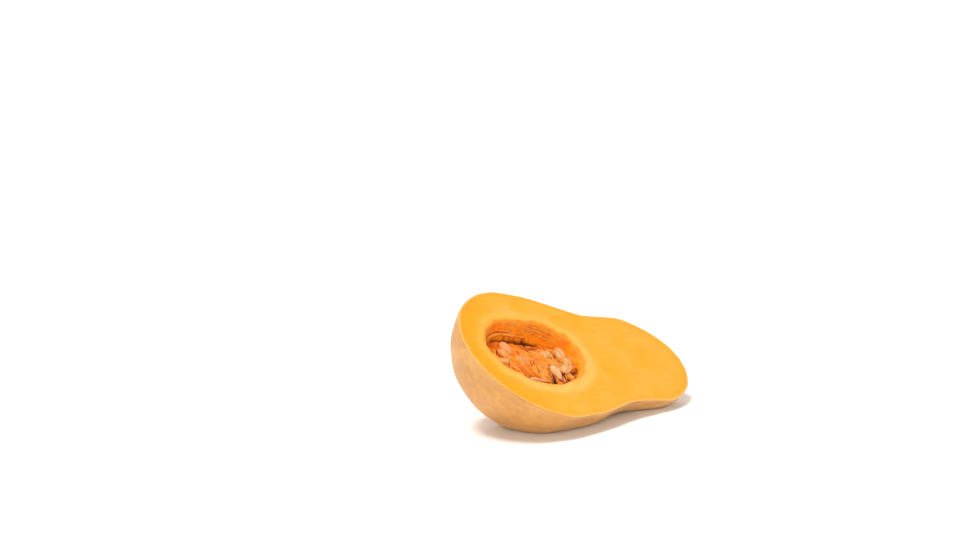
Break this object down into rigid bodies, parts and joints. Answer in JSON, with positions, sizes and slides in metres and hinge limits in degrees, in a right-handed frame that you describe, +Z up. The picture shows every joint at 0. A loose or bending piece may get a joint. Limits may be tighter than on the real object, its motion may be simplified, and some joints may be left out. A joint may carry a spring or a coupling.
{
  "type": "butternut squash half",
  "caption": "Half of a butternut squash cut lengthwise, lying on its tan rind with the orange cut face, seed cavity, pulp and seeds up.",
  "frame": {"origin": "on the floor, under the middle of the half's bounding box", "axes": "+X along the fruit from the bulb's blossom end to the neck's end, +Z up; the cut face looks up and towards -Y"},
  "size_m": [0.2364, 0.11, 0.0966],
  "materials": {
    "rind": "waxy satin",
    "pulp": "moist and stringy",
    "seed": "moist satin"
  },
  "bodies": {
    "root": {"squash_half": "rind", "pulp": "pulp", "seed_01": "seed", "seed_02": "seed", "seed_03": "seed", "seed_04": "seed", "seed_05": "seed", "seed_06": "seed", "seed_07": "seed", "seed_08": "seed", "seed_09": "seed", "seed_10": "seed", "seed_11": "seed", "seed_12": "seed"}
  },
  "joints": []
}
